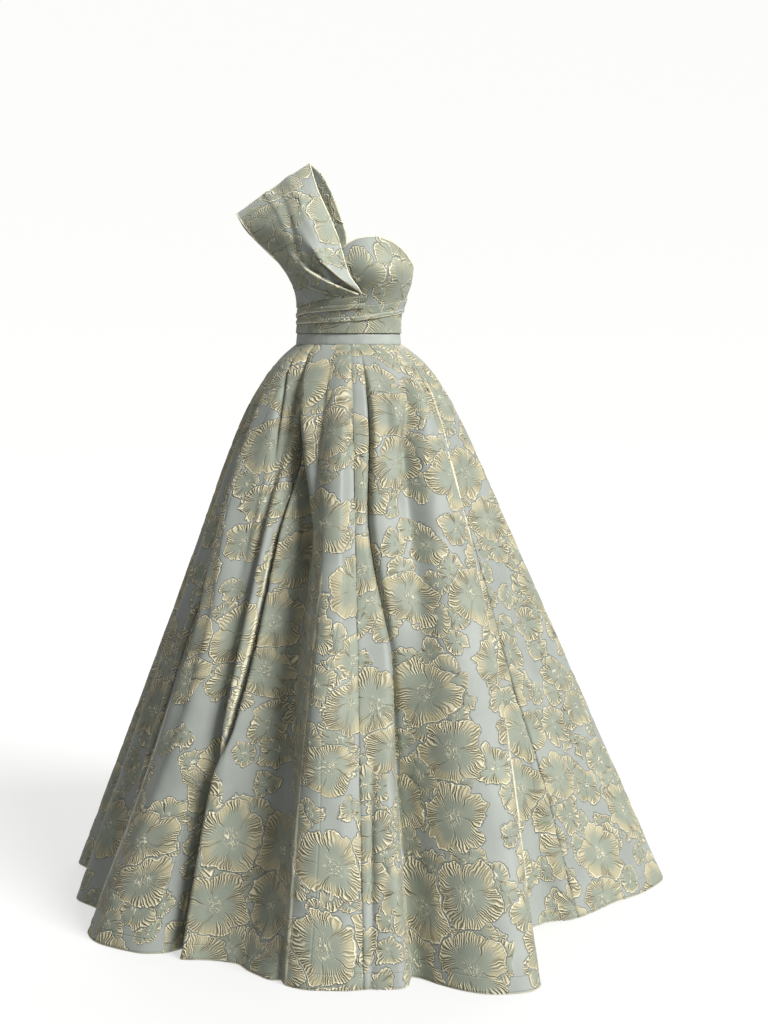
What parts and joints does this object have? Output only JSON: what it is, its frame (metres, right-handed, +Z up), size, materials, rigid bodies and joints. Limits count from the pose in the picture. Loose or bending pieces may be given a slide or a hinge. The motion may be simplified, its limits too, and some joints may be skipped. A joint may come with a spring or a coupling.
{
  "type": "one-shoulder ball gown",
  "caption": "Floor-length one-shoulder ball gown in raised floral brocade, with a pleated shoulder drape, a cup bodice, a wrapped midriff, a waistband and a full gored skirt.",
  "frame": {"origin": "centre of the waist seam, where the waistband meets the skirt and the wearer's waist holds the gown", "axes": "+Z up the wearer's body, -Y out of the front of the gown, +X towards the wearer's left"},
  "size_m": [1.2871, 1.3792, 1.5288],
  "materials": {
    "brocade": "satin",
    "plain_satin": "satin",
    "nickel": "polished"
  },
  "bodies": {
    "gown": {"skirt_front_right": "brocade", "skirt_front_left": "brocade", "skirt_side_left": "brocade", "skirt_back_left": "brocade", "skirt_back_right": "brocade", "skirt_side_right": "brocade", "waistband_front": "plain_satin", "waistband_back_left": "plain_satin", "waistband_back_right": "plain_satin", "bodice_front_left": "brocade", "bodice_front_right": "brocade", "bodice_back_left": "brocade", "bodice_back_right": "brocade", "midriff_pleat_lower": "brocade", "midriff_pleat_middle": "brocade", "midriff_pleat_upper": "brocade", "shoulder_drape": "brocade", "zip_slider": "nickel"},
    "zip_pull": {"zip_pull": "nickel"}
  },
  "joints": [
    {"name": "zip_pull_hinge", "type": "hinge", "parent": "gown", "child": "zip_pull", "pos_m": [0.00964, 0.10122, 0.138], "axis": [1, 0, 0], "range_deg": [0, 150]}
  ]
}
